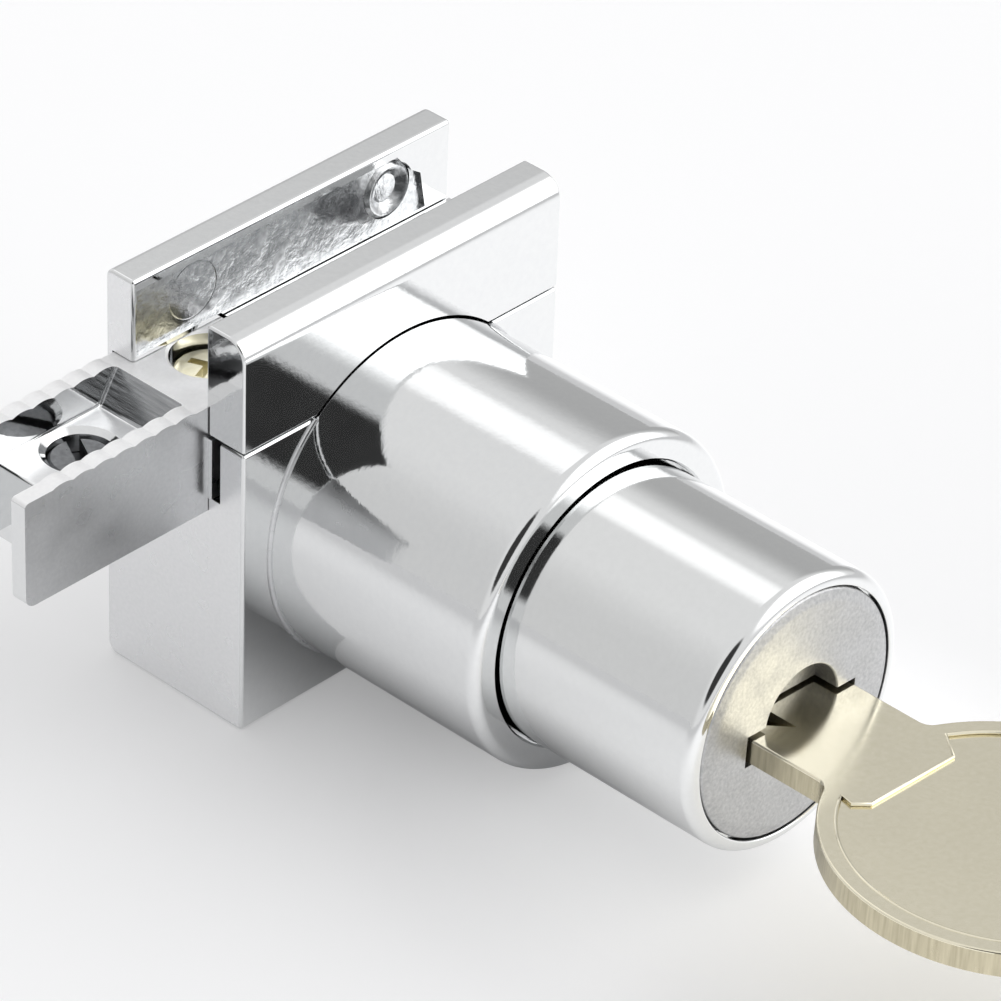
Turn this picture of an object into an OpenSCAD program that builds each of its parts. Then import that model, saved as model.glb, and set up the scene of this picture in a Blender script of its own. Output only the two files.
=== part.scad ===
// Glass cabinet door lock. A clamp body grips the edge of a glass door, a push
// plunger with a keyed plug stands out of its collar, and a fork arm reaches
// out at the side. X runs along the glass edge, -Y points to the key and +Z is
// up, out of the glass slot. The origin is the centre of the slot's floor.

/* [Glass slot] */
// Width of the slot between the jaws, for 5 to 7 mm glass and its packing
slot_w = 7.85; // [7.3:0.05:9]
// Depth of the slot above its floor
slot_depth = 7; // [6.4:0.1:10]
// Thickness of the front jaw
front_jaw_t = 3.95; // [3.5:0.05:5]
// Thickness of the rear jaw
rear_jaw_t = 2.95; // [2.6:0.05:4]
// Rounding of the front jaw's top edge
jaw_round = 1.8; // [0.6:0.1:2.2]
// Thickness of the clamp's foot, from the slot's floor to the parting plane
foot_t = 2.8; // [2.4:0.1:3.2]

/* [Body] */
// Length of the body along the glass edge
body_len = 33.6; // [32:0.1:40]
// Height of the collar's top above the slot's floor
collar_rise = 0.7; // [0.2:0.1:1.2]
// Height of the collar's underside above the body's base
base_gap = 0.7; // [0.2:0.1:4]
// Depth of the rough relief on the rear jaw's inner side
relief_depth = 0.38; // [0.2:0.02:0.6]
// Distance of that relief's end from the body's right end
relief_in = 2.6; // [2:0.1:4]
// Rounding of the body's long edges
edge_r = 0.5; // [0.2:0.1:1]
// Width of the seam that shows between the clamp and the body
seam = 0.15; // [0.1:0.05:0.4]

/* [Collar] */
// Thickness of the collar's wall round the plunger
collar_wall = 2.55; // [2.3:0.05:3.2]
// Length of the collar in front of the body
collar_len = 21.35; // [20.5:0.05:24]
// Rounding of the collar's outer front edge
collar_lip_r = 1; // [0.4:0.1:1.3]
// Fillet where the collar meets the body
root_fillet = 0.3; // [0.3:0.1:1]
// Radial width of the open ring round the plunger at the collar's mouth
mouth_gap = 0.45; // [0.3:0.05:0.8]
// Depth of that ring
mouth_depth = 2.2; // [1:0.1:3]

/* [Plunger] */
// Outer radius of the plunger
plunger_r = 11.45; // [11:0.05:12.5]
// Length of plunger that stands out of the collar at rest
plunger_out = 18.95; // [18:0.05:22]
// Distance the plunger is pushed in to lock
stroke = 8; // [5:0.1:8.2]
// Rounding of the plunger's front edge
plunger_lip_r = 1; // [0.4:0.05:1.1]
// Radius of the locking pin
pin_r = 3; // [2.5:0.05:3.4]
// Wire thickness of the return spring
spring_wire = 0.8; // [0.5:0.05:1]
// Number of turns of the return spring
spring_turns = 5; // [4:1:6]

/* [Plug and key] */
// Thickness of the plunger's rim round the plug's face
lip_wall = 1.3; // [1.2:0.05:1.7]
// Radius of the plug's core, behind its face
core_r = 7.6; // [7.4:0.01:7.8]
// Thickness of the plug's head
head_t = 3.25; // [2.5:0.05:4]
// Width of the soft bevel round the plug's face
plug_bevel = 0.8; // [0.3:0.1:1.2]
// Radius of the round recess in the middle of the face
recess_r = 3.9; // [3:0.05:4.2]
// Depth of the round recess
recess_depth = 2.2; // [1:0.1:2.4]
// Width of the key's neck
key_w = 11.2; // [10:0.1:11.6]
// Thickness of the key
key_t = 2.1; // [1.8:0.05:2.2]
// Clearance round the key in its keyway
keyway_gap = 0.3; // [0.2:0.05:0.4]
// Depth of the key's middle plane below the plug's centre
key_drop = 0.9; // [0:0.05:1]
// Sideways offset of the key and the recess from the plug's centre
key_offset = 0.45; // [0:0.05:0.5]
// Turn of the key and the plug at rest, in degrees
key_tilt = -3; // [-5:0.5:5]
// Radius of the key's round bow
bow_r = 14.3; // [11:0.1:15]
// Distance from the plug's face to the bow's centre
bow_ahead = 20.4; // [18:0.1:24]
// Radius of the hole for a key ring
ring_r = 2.6; // [2:0.1:3]
// Number of wafers in the plug
wafer_count = 5; // [5:1:5]
// Thickness of one wafer
wafer_t = 1; // [0.8:0.05:1.2]
// Distance from one wafer to the next
wafer_pitch = 2.8; // [2.6:0.05:2.9]

/* [Latch] */
// Travel of the latch that holds the plunger
latch_travel = 1.4; // [1.2:0.05:1.5]
// Thickness of the latch
latch_t = 2.2; // [1.8:0.05:2.3]
// Half of the latch's width
latch_half = 3.6; // [3.4:0.05:3.8]
// Radius of the pin on the plug that drives the latch
cam_pin_r = 0.9; // [0.7:0.05:1]

/* [Fork arm] */
// Width of the arm
arm_w = 10.2; // [9.8:0.05:10.3]
// Thickness of the body's wall in front of the arm
front_wall_t = 2.45; // [2.2:0.05:2.8]
// Width of the open slit between that wall and the arm's shoulder
arm_slit = 0.8; // [0.5:0.05:1]
// Thickness of the shoulder that stands out of the arm inside the slit
shoulder_t = 0.45; // [0.2:0.05:0.6]
// Height of the slit's lower end above the arm's underside
slit_up = 1.15; // [0.6:0.05:2]
// Height of the arm
arm_h = 9.25; // [8:0.05:9.4]
// Length of arm that stands out of the body
arm_reach = 18.4; // [17:0.1:22]
// Length of arm inside the body
arm_in = 9.1; // [8.8:0.1:9.4]
// Thickness of the rails along the arm's sides
rail_t = 1.45; // [1:0.05:1.55]
// Depth of the pocket between the rails
pocket_depth = 2.8; // [2:0.1:4]
// Distance from the body's face to the pocket
pocket_start = 1.2; // [1:0.1:2]
// Length of the open fork at the arm's end
fork_len = 4.9; // [4:0.1:6]
// Distance between the scallops on the rails
scallop_pitch = 2.05; // [1.6:0.05:2.2]
// Height of the scallops
scallop_h = 0.2; // [0.15:0.05:0.35]
// Radius of the jack screw in the arm
jack_r = 2.6; // [2.2:0.05:2.8]
// Travel of the jack screw
jack_travel = 3; // [1:0.5:3]

/* [Screws] */
// Radius of the head of the screw that holds the arm
arm_head_r = 2.8; // [2.4:0.05:2.9]
// Radius of the shank of the arm and foot screws
shank_r = 1.6; // [1.3:0.05:1.7]
// Radius of the countersunk head of the foot screw
foot_head_r = 3.1; // [2.8:0.05:3.3]
// Distance of the foot screw from the body's right end
foot_screw_in = 6.6; // [5.5:0.1:8]
// Radius of the two screws that press on the glass
grub_r = 2.4; // [1.8:0.05:2.4]
// Distance of those screws from the middle of the body
grub_x = 10.3; // [8:0.1:11]
// Height of those screws above the slot's floor
grub_z = 3.3; // [3:0.1:3.5]
// Travel of those screws
grub_travel = 1.8; // [1:0.1:1.8]
// Radius of the guide screw under the collar
guide_r = 2; // [1.6:0.05:2.2]

/* [Clearances] */
// Radial clearance of a shaft in its bore
run_gap = 0.08; // [0.04:0.01:0.1]
// Clearance between pieces that only pass each other
free_gap = 0.3; // [0.25:0.01:0.32]

/* [Hidden] */
$fn = 64;
eps = 0.01;

// The body's faces, measured from the middle of the slot's floor
front_y = -slot_w / 2 - front_jaw_t;
rear_y = slot_w / 2 + rear_jaw_t;
collar_r = plunger_r + collar_wall;
axis_drop = collar_r - collar_rise;
axis_z = -axis_drop;
base_z = axis_z - collar_r - base_gap;
part_z = -foot_t;
left_x = -body_len / 2;

// Distances along the plunger's axis, forwards from the body's front face
boss_back = -2;
face_w = collar_len + plunger_out;
plug_face_w = face_w + 0.15;
plunger_back = 10;
bore_floor = plunger_back - stroke - 0.4;
rear_w = -(rear_y - front_y);
bore_r = plunger_r + run_gap;
cap_len = 4.6;
inner_wall_w = plunger_back + cap_len + 2.6;
inner_wall_t = 1.8;
core_back = inner_wall_w + inner_wall_t + 0.2;
head_back = plug_face_w - head_t;
plug_r = plunger_r - lip_wall;
rear_cup_r = plunger_r - 1.65;
tail_r = 3.5;
clip_t = 0.75;
clip_w = inner_wall_w - 0.2 - clip_t;
cam_tail_w = plunger_back + cap_len + 0.3;
spring_r = pin_r + 2.4;
spring_sunk = 3.9;

// The latch lies in the end cap, in front of the locking pin
latch_w = plunger_back + 2.1;
latch_tip = plunger_r - 0.35;
latch_tail = -6.5;
pocket_x = latch_tip + latch_travel + 0.4;

// The guide screw rides in a groove of the sleeve
guide_w = plunger_back + 2.5;
guide_tip_r = 1;
groove_r = plunger_r - 1;

// The arm lies under the jaws, with its front side behind the front wall
arm_front_y = front_y + front_wall_t + arm_slit + shoulder_t;
arm_rear_y = arm_front_y + arm_w;
arm_mid_y = (arm_front_y + arm_rear_y) / 2;
arm_top = -0.1;
arm_bottom = arm_top - arm_h;
arm_end_x = left_x - arm_reach;
arm_in_x = left_x + arm_in;
channel_front_y = front_y + front_wall_t;
channel_rear_y = arm_rear_y + 0.15;
channel_top = arm_top + 0.06;
slit_bottom = arm_bottom + slit_up;
arm_screw_x = left_x + 5;
arm_screw_hole_r = arm_head_r + free_gap;
arm_screw_top = arm_top - 1;
arm_screw_head = 1.6;
pocket_x1 = left_x - pocket_start;
pocket_x0 = arm_end_x + fork_len;
web_z = arm_top - pocket_depth;
ramp_run = 1.6;
jack_x = pocket_x0 + 5.7;
jack_y = arm_mid_y + 0.3;
jack_top = web_z - 0.6;

// The foot of the clamp starts behind the arm's inner end
foot_x0 = arm_in_x + free_gap;
foot_screw_x = body_len / 2 - foot_screw_in;
relief_x0 = left_x + 0.35;
relief_x1 = body_len / 2 - relief_in;
relief_top = slot_depth - 0.95;
key_blade_w = key_w - 0.6;
blade_tip_w = core_back + 1.8;
wafer_w0 = core_back + 4;
wafer_half_h = 3.6;
bow_w = plug_face_w + bow_ahead;
ring_w = bow_w + bow_r - ring_r - 2.4;

// Local z runs forwards along the plunger's axis, local y runs up
module on_axis() {
  translate([0, front_y, axis_z]) rotate([90, 0, 0]) children();
}

// The same place, turned with the key
module on_plug() {
  on_axis() rotate([0, 0, key_tilt]) children();
}

// Extrudes a profile drawn in Y and Z along X
module along_x(len) {
  rotate([90, 0, 90]) linear_extrude(height = len, center = true) children();
}

// A disc from the axis to radius r, with its outer front edge rounded by e
module lipped_disc(r, h, e) {
  rotate_extrude() {
    square([r, h - e]);
    square([r - e, h]);
    translate([r - e, h - e]) intersection() {
      circle(e);
      square(e);
    }
  }
}

// A square of w by h whose four corners are rounded by r
module soft_square(w, h, r) {
  translate([r, 0]) square([w - 2 * r, h]);
  translate([0, r]) square([w, h - 2 * r]);
  for (x = [r, w - r], y = [r, h - r]) translate([x, y]) circle(r);
}

// A straight slot across a screw's head
module driver_slot(r, depth) {
  translate([-r - 1, -0.4, -depth]) cube([2 * r + 2, 0.8, depth + 1]);
}

// A six-sided driver hole
module hex_hole(across, depth) {
  translate([0, 0, -depth]) cylinder(d = across / cos(30), h = depth + 1, $fn = 6);
}

// A screw hole from z0 up to z1 at a place on the slot's floor
module down_hole(x, y, r, z0, z1) {
  translate([x, y, z0]) cylinder(r = r, h = z1 - z0);
}

// The housing: the block, the rear jaw and the collar in one casting
module housing() {
  color("#c4c6c8") difference() {
    union() {
      along_x(body_len) {
        translate([front_y, base_z])
          soft_square(rear_y - front_y, part_z - base_z, edge_r);
        translate([rear_y - rear_jaw_t, base_z + 2])
          soft_square(rear_jaw_t, slot_depth - base_z - 2, edge_r);
        translate([rear_y - 2, base_z + 1])
          square([2, slot_depth - base_z - 2]);
        translate([front_y, part_z - 1]) square([rear_y - front_y, 1]);
      }
      on_axis() {
        translate([0, 0, boss_back])
          lipped_disc(collar_r, collar_len - boss_back, collar_lip_r);
        root_ring();
      }
    }
    on_axis() plunger_bore();
    arm_channel();
    jaw_relief();
    down_hole(foot_screw_x, 0, shank_r + run_gap, part_z - 8, part_z + 1);
    down_hole(arm_screw_x, arm_mid_y, shank_r + run_gap, arm_bottom - 4.5, arm_bottom + 1);
    for (x = [-grub_x, grub_x]) translate([x, rear_y + 1, grub_z]) rotate([90, 0, 0])
      cylinder(r = grub_r + run_gap, h = rear_jaw_t + 2);
  }
}

// The shallow relief on the rear jaw's inner side, with a ragged right end
module jaw_relief() {
  translate([0, slot_w / 2 + relief_depth, 0]) rotate([90, 0, 0])
    linear_extrude(height = relief_depth + 0.6)
      polygon([[relief_x0, 0.3], [relief_x0, relief_top], [relief_x1 - 3.2, relief_top],
        [relief_x1 - 1.8, relief_top - 1.65], [relief_x1 - 0.6, relief_top - 2.45],
        [relief_x1, 0.3]]);
}

// The fillet at the collar's root, below the parting plane only
module root_ring() {
  intersection() {
    rotate_extrude() difference() {
      translate([collar_r - 0.5, -0.5]) square(root_fillet + 0.5);
      translate([collar_r + root_fillet, root_fillet]) circle(root_fillet);
    }
    translate([-20, -20, -1]) cube([40, 20 + axis_drop - foot_t, 3]);
  }
}

// Everything that is bored out of the housing along the plunger's axis
module plunger_bore() {
  translate([0, 0, bore_floor]) cylinder(r = bore_r, h = collar_len);
  translate([0, 0, collar_len - mouth_depth])
    cylinder(r = plunger_r + mouth_gap, h = mouth_depth + 1);
  translate([0, 0, rear_w - 1]) cylinder(r = pin_r + run_gap, h = bore_floor - rear_w + 2);
  translate([0, 0, -spring_sunk])
    cylinder(r = spring_r + 0.9, h = spring_sunk + bore_floor + eps);
  for (s = [0, stroke])
    translate([bore_r - 1.5, -latch_half - free_gap, latch_w - s - free_gap])
      cube([pocket_x - bore_r + 1.5, 2 * (latch_half + free_gap), latch_t + 2 * free_gap]);
  translate([0, -plunger_r + 2, guide_w]) rotate([90, 0, 0])
    cylinder(r = guide_r + run_gap, h = collar_r);
}

// The channel that the arm lies in, open to the left and below the slot
module arm_channel() {
  len = arm_in + free_gap + 1;
  translate([left_x - 1, arm_front_y - 0.05, arm_bottom])
    cube([len, channel_rear_y - arm_front_y + 0.05, channel_top - arm_bottom]);
  translate([left_x - 1, channel_front_y, slit_bottom])
    cube([len, channel_rear_y - channel_front_y, channel_top - slit_bottom]);
}

// The front clamp: the front jaw and the foot that forms the slot's floor
module front_clamp() {
  h = slot_depth - part_z - seam;
  color("#cccecf") difference() {
    union() {
      along_x(body_len) translate([front_y, part_z + seam]) {
        square([front_jaw_t, h - jaw_round]);
        translate([jaw_round, 0]) square([front_jaw_t - jaw_round, h]);
        translate([jaw_round, h - jaw_round]) circle(jaw_round);
      }
      translate([foot_x0, front_y + front_jaw_t - 1, part_z])
        cube([body_len / 2 - foot_x0, slot_w + 0.9, foot_t]);
    }
    on_axis() translate([0, 0, boss_back - seam])
      cylinder(r = collar_r + seam, h = 10);
    translate([left_x - 1, arm_front_y - 0.1, part_z - 1])
      cube([arm_in + free_gap + 1, 10, channel_top - part_z + 1]);
    down_hole(foot_screw_x, 0, shank_r + free_gap, part_z - 1, 1);
    translate([foot_screw_x, 0, -1.9]) cylinder(r1 = shank_r + free_gap,
      r2 = foot_head_r + 0.1, h = 1.7);
    down_hole(foot_screw_x, 0, foot_head_r + 0.1, -0.2 - eps, 1);
  }
}

// The countersunk screw that holds the foot
module foot_screw() {
  color("#b9bbbd") translate([foot_screw_x, 0, 0]) difference() {
    union() {
      translate([0, 0, -1.9]) cylinder(r1 = shank_r, r2 = foot_head_r - 0.05, h = 1.6);
      translate([0, 0, part_z - 7.5]) cylinder(r = shank_r, h = 7.5 - part_z - 1.8);
    }
    translate([0, 0, -0.3]) driver_slot(foot_head_r, 0.7);
    translate([0, 0, -0.3]) rotate(90) driver_slot(foot_head_r, 0.7);
  }
}

// One rail of the arm, with scallops on its top
module rail(y) {
  translate([0, y + rail_t, 0]) rotate([90, 0, 0]) linear_extrude(height = rail_t) {
    translate([arm_end_x, arm_bottom]) square([arm_reach + 1, arm_h]);
    for (i = [0:6]) translate([pocket_x1 - scallop_pitch * (i + 0.55), arm_top]) scallop();
  }
}

// A low arc that stands on the rail's top
module scallop() {
  r = scallop_pitch * scallop_pitch / (8 * scallop_h) + scallop_h / 2;
  intersection() {
    translate([0, scallop_h - r]) circle(r);
    translate([-scallop_pitch / 2, -0.2]) square([scallop_pitch, 1]);
  }
}

// The pocket between the rails, drawn in X and Z, with a sloped inner end
module pocket_profile() {
  polygon([[pocket_x0 - 8, web_z], [pocket_x1 - ramp_run, web_z],
    [pocket_x1 + 0.1, arm_top + 0.1], [pocket_x1 + 0.1, 3], [pocket_x0 - 8, 3]]);
}

// The fork arm
module strike_arm() {
  inner_w = arm_w - 2 * rail_t;
  color("#bfc1c2") difference() {
    union() {
      translate([pocket_x0, arm_front_y, arm_bottom])
        cube([arm_in_x - pocket_x0, arm_w, arm_h]);
      rail(arm_front_y);
      rail(arm_rear_y - rail_t);
      translate([left_x - 0.1, arm_front_y - shoulder_t, slit_bottom + 0.05])
        cube([arm_in + 0.1, shoulder_t + 0.5, part_z - slit_bottom - 0.1]);
    }
    translate([0, arm_front_y + rail_t + inner_w, 0]) rotate([90, 0, 0])
      linear_extrude(height = inner_w) pocket_profile();
    down_hole(jack_x, jack_y, jack_r + run_gap, arm_bottom - 1, web_z + 1);
    translate([jack_x, jack_y, web_z - 0.5])
      cylinder(r1 = jack_r + run_gap, r2 = jack_r + 0.6, h = 0.5 + eps);
    down_hole(arm_screw_x, arm_mid_y, arm_screw_hole_r, arm_screw_top - arm_screw_head, 1);
    down_hole(arm_screw_x, arm_mid_y, shank_r + 0.15, arm_bottom - 1, 0);
  }
}

// The screw that holds the arm in its channel
module arm_screw() {
  color("#cdbf8e") translate([arm_screw_x, arm_mid_y, 0]) difference() {
    union() {
      translate([0, 0, arm_screw_top - arm_screw_head])
        lipped_disc(arm_head_r, arm_screw_head, 0.4);
      translate([0, 0, arm_bottom - 4.2]) cylinder(r = shank_r,
        h = arm_screw_top - arm_screw_head - arm_bottom + 4.3);
    }
    translate([0, 0, arm_screw_top]) driver_slot(arm_head_r, 0.8);
    translate([0, 0, arm_screw_top]) rotate(90) driver_slot(arm_head_r, 0.8);
  }
}

// The slotted screw in the arm's web, which jacks down below the arm
module arm_jack_screw() {
  color("#8f9192") translate([jack_x, jack_y, 0]) difference() {
    down_hole(0, 0, jack_r, arm_bottom + 0.1, jack_top);
    translate([0, 0, jack_top]) rotate(63) scale([1, 1.4, 1]) driver_slot(jack_r, 1.4);
  }
}

// A grub screw that presses on the glass, driven from behind
module glass_screw(x) {
  color("#8a8c8e") translate([x, 0, grub_z]) rotate([-90, 0, 0]) difference() {
    translate([0, 0, slot_w / 2 + 0.1]) cylinder(r = grub_r, h = rear_jaw_t - 0.2);
    translate([0, 0, rear_y - 0.1]) hex_hole(2.5, 1.6);
  }
}
module glass_screw_left() { glass_screw(-grub_x); }
module glass_screw_right() { glass_screw(grub_x); }

// The screw under the collar whose tip rides in the sleeve's groove
module guide_screw() {
  color("#8a8c8e") on_axis() translate([0, 0, guide_w]) rotate([90, 0, 0]) difference() {
    union() {
      translate([0, 0, plunger_r + 0.3]) cylinder(r = guide_r, h = collar_r - plunger_r - 0.5);
      translate([0, 0, groove_r + 0.2]) cylinder(r = guide_tip_r, h = 1.5);
    }
    translate([0, 0, collar_r - 0.2]) driver_slot(guide_r, 0.7);
  }
}

// The chromed sleeve of the plunger
module plunger_sleeve() {
  color("#cfd1d2") on_axis() difference() {
    translate([0, 0, plunger_back])
      lipped_disc(plunger_r, face_w - plunger_back, plunger_lip_r);
    translate([0, 0, head_back - free_gap]) cylinder(r = plug_r + run_gap, h = 20);
    translate([0, 0, inner_wall_w + inner_wall_t])
      cylinder(r = core_r + run_gap, h = 40);
    translate([0, 0, plunger_back]) cylinder(r = tail_r + 0.1, h = 40);
    translate([0, 0, plunger_back - 1])
      cylinder(r = rear_cup_r, h = inner_wall_w - plunger_back + 1);
    rotate([0, 0, key_tilt]) for (s = [-1, 1])
      translate([s * (core_r + 0.3) - 1.1, -wafer_half_h - 0.2, wafer_w0 - 1])
        cube([2.2, 2 * wafer_half_h + 0.4, wafer_pitch * (wafer_count - 1) + wafer_t + 2]);
    translate([rear_cup_r - 1, -latch_half - 0.15, latch_w - 0.15])
      cube([plunger_r - rear_cup_r + 2, 2 * latch_half + 0.3, latch_t + 0.3]);
    translate([-guide_tip_r - 0.1, -plunger_r - 1, guide_w - guide_tip_r - 0.1])
      cube([2 * guide_tip_r + 0.2, plunger_r + 1 - groove_r,
        stroke + 2 * guide_tip_r + 0.2]);
  }
}

// The cap that closes the sleeve's back and holds the latch and the pin
module plunger_end_cap() {
  color("#a9abad") on_axis() difference() {
    translate([0, 0, plunger_back]) cylinder(r = rear_cup_r - 0.05, h = cap_len);
    translate([0, 0, plunger_back - 1]) cylinder(r = pin_r + 0.02, h = 2.6);
    translate([latch_tail - 0.5, -latch_half - 0.1, latch_w - 0.1])
      cube([30, 2 * latch_half + 0.2, 10]);
  }
}

// The pin that comes out of the housing's back and blocks the other door
module locking_pin() {
  len = plunger_back + 1.6 - rear_w - 0.15;
  color("#d3d5d6") on_axis() translate([0, 0, rear_w + 0.15]) rotate_extrude()
    polygon([[0, 0], [pin_r - 0.6, 0], [pin_r, 0.6], [pin_r, len], [0, len]]);
}

// The coil spring that pushes the plunger out again
module return_spring() {
  len = plunger_back + spring_sunk - 0.2;
  color("#9a9c9e") on_axis() translate([0, 0, -spring_sunk + 0.1])
    linear_extrude(height = len, twist = -360 * spring_turns,
        slices = 14 * spring_turns, $fn = 8)
      spring_section(360 * spring_wire * spring_turns / len);
}

// A short arc of a ring, drawn as a polygon
module spring_section(span) {
  steps = 3;
  polygon([for (i = [0:steps]) (spring_r + spring_wire / 2)
      * [cos(span * i / steps), sin(span * i / steps)],
    for (i = [steps:-1:0]) (spring_r - spring_wire / 2)
      * [cos(span * i / steps), sin(span * i / steps)]]);
}

// The plug: the face that shows, the core with its wafer slots and the tail
module plug() {
  key_gap_w = key_w + 2 * keyway_gap;
  key_gap_t = key_t + 2 * keyway_gap;
  color("#a3a5a6") difference() {
    union() {
      on_plug() {
        translate([0, 0, head_back]) plug_head();
        translate([0, 0, core_back]) cylinder(r = core_r, h = head_back - core_back + eps);
        translate([0, 0, cam_tail_w]) cylinder(r = tail_r, h = core_back - cam_tail_w + eps);
      }
      on_axis() translate([0, latch_travel, latch_w + 0.2])
        cylinder(r = cam_pin_r, h = cam_tail_w - latch_w + 0.5, $fn = 32);
    }
    on_plug() {
      translate([key_offset - key_gap_w / 2, -key_drop - key_gap_t / 2, blade_tip_w - 0.5])
        cube([key_gap_w, key_gap_t, 40]);
      translate([key_offset, 0, plug_face_w - recess_depth]) cylinder(r = recess_r, h = 5);
      for (i = [0:wafer_count - 1])
        translate([-core_r - 1, -wafer_half_h - 0.1, wafer_w0 + i * wafer_pitch - 0.1])
          cube([2 * core_r + 2, 2 * wafer_half_h + 0.2, wafer_t + 0.2]);
      translate([-1, wafer_half_h, wafer_w0 - 0.8])
        cube([2, 1, wafer_pitch * (wafer_count - 1) + wafer_t + 1.6]);
      translate([0, 0, clip_w - 0.05]) difference() {
        cylinder(r = tail_r + 1, h = clip_t + 0.1);
        cylinder(r = tail_r - 0.8, h = 10, center = true);
      }
    }
  }
}

// The plug's head, with the soft bevel round its face
module plug_head() {
  rotate_extrude() polygon([[0, 0], [plug_r, 0], [plug_r, head_t - 0.35 * plug_bevel],
    [plug_r - 0.3 * plug_bevel, head_t - 0.12 * plug_bevel],
    [plug_r - plug_bevel, head_t], [0, head_t]]);
}

// The clip that keeps the plug in the sleeve
module plug_clip() {
  color("#77797b") on_plug() translate([0, 0, clip_w]) difference() {
    cylinder(r = tail_r + 1.6, h = clip_t);
    translate([0, 0, -1]) cylinder(r = tail_r - 0.75, h = clip_t + 2);
    translate([-tail_r + 0.9, -10, -1]) cube([2 * tail_r - 1.8, 10, clip_t + 2]);
  }
}

// One wafer, with the window that the key's blade goes through
module wafer(i) {
  color("#c8a850") on_plug() translate([0, 0, wafer_w0 + i * wafer_pitch]) difference() {
    intersection() {
      cylinder(r = core_r - 0.02, h = wafer_t);
      translate([-core_r, -wafer_half_h, -1]) cube([2 * core_r, 2 * wafer_half_h, wafer_t + 2]);
    }
    translate([key_offset - key_w / 2 - 0.1, -key_drop - key_t / 2 - 0.4, -1])
      cube([key_w + 0.2, key_t + 0.8, wafer_t + 2]);
  }
}
module wafer_1() { wafer(0); }
module wafer_2() { wafer(1); }
module wafer_3() { wafer(2); }
module wafer_4() { wafer(3); }
module wafer_5() { wafer(4); }

// The leaf spring along the tops of the wafers
module wafer_spring() {
  color("#8f9193") on_plug() translate([-0.9, wafer_half_h + 0.1, wafer_w0 - 0.6])
    cube([1.8, 0.3, wafer_pitch * (wafer_count - 1) + wafer_t + 1.2]);
}

// The latch that the plug slides out into the collar's pockets
module latch() {
  slot_half = cam_pin_r + 0.45;
  color("#b5b7b9") on_axis() translate([0, 0, latch_w]) difference() {
    intersection() {
      translate([latch_tail, -latch_half, 0])
        cube([latch_tip - latch_tail, 2 * latch_half, latch_t]);
      cylinder(r = plunger_r - 0.05, h = latch_t);
    }
    translate([-slot_half, -cam_pin_r - 0.3, -1])
      cube([2 * slot_half, latch_travel + 2 * cam_pin_r + 0.6, latch_t + 2]);
  }
}

// The key: a round flat bow, a neck and a notched blade
module key() {
  color("#c9c3a8") on_plug() translate([key_offset, key_t / 2 - key_drop, 0]) rotate([90, 0, 0])
    linear_extrude(height = key_t) difference() {
      union() {
        translate([0, bow_w]) circle(bow_r);
        polygon(concat(neck_side(1), [[0, bow_w]], reversed(neck_side(-1))));
      }
      translate([0, ring_w]) circle(ring_r);
      for (i = [0:wafer_count - 1])
        translate([key_blade_w / 2, wafer_w0 + i * wafer_pitch + wafer_t / 2])
          rotate(45) square(0.9 + 0.35 * (i % 3), center = true);
    }
}

// One side of the blade and the neck, with the fillet that runs into the bow
function neck_side(side, r = 1.2, steps = 6) =
  let (half = key_blade_w / 2, x = key_w / 2 + r,
    w = bow_w - sqrt((bow_r + r) * (bow_r + r) - x * x),
    sweep = atan2(bow_w - w, x) - 4)
  concat([[side * (half - 3.5), blade_tip_w], [side * half, blade_tip_w + 2],
      [side * half, plug_face_w - 1], [side * key_w / 2, plug_face_w - 1]],
    [for (i = [0:steps]) [side * (x - r * cos(sweep * i / steps)),
      w + r * sin(sweep * i / steps)]]);
function reversed(list) = [for (i = [len(list) - 1:-1:0]) list[i]];

housing();
front_clamp();
foot_screw();
strike_arm();
arm_screw();
arm_jack_screw();
glass_screw_left();
glass_screw_right();
guide_screw();
plunger_sleeve();
plunger_end_cap();
locking_pin();
return_spring();
plug();
plug_clip();
wafer_1();
wafer_2();
wafer_3();
wafer_4();
wafer_5();
wafer_spring();
latch();
key();
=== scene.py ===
import math

import bpy
from mathutils import Matrix, Vector


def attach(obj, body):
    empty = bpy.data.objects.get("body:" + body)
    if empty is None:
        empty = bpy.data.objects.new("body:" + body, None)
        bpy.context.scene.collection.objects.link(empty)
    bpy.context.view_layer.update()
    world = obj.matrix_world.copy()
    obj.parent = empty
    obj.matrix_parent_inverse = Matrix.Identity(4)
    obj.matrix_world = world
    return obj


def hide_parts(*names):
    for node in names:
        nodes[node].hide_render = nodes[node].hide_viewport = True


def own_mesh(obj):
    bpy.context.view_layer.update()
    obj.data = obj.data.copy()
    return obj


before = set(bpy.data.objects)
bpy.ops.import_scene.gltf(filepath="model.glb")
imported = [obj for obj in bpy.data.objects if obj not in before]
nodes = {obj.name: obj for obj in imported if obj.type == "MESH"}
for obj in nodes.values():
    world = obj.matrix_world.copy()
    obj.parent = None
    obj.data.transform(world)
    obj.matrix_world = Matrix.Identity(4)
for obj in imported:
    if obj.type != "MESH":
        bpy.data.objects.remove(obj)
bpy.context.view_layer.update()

# Sizes are in millimetres, as in the part's source. Pieces are modelled in them
# and brought to metres when they are put on their body. X runs along the glass
# edge, -Y to the key and Z up. A name that ends in _R is a radius, and one that
# ends in _W a place on the plunger's axis, counted from the block's front face.
MM = 0.001

# The block and its jaws. The slot and the block are named by half their size.
FRONT, REAR = -7.875, 6.875
BASE, PARTING, JAW_TOP = -28.0, -2.8, 7.0
HALF = 16.8
SLOT = 3.925
SEAM = 0.15
RECESS_Y = SLOT + 0.38
FOOT_LEFT = -7.4
GRUB_X, GRUB_Z = 10.3, 3.3

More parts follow.
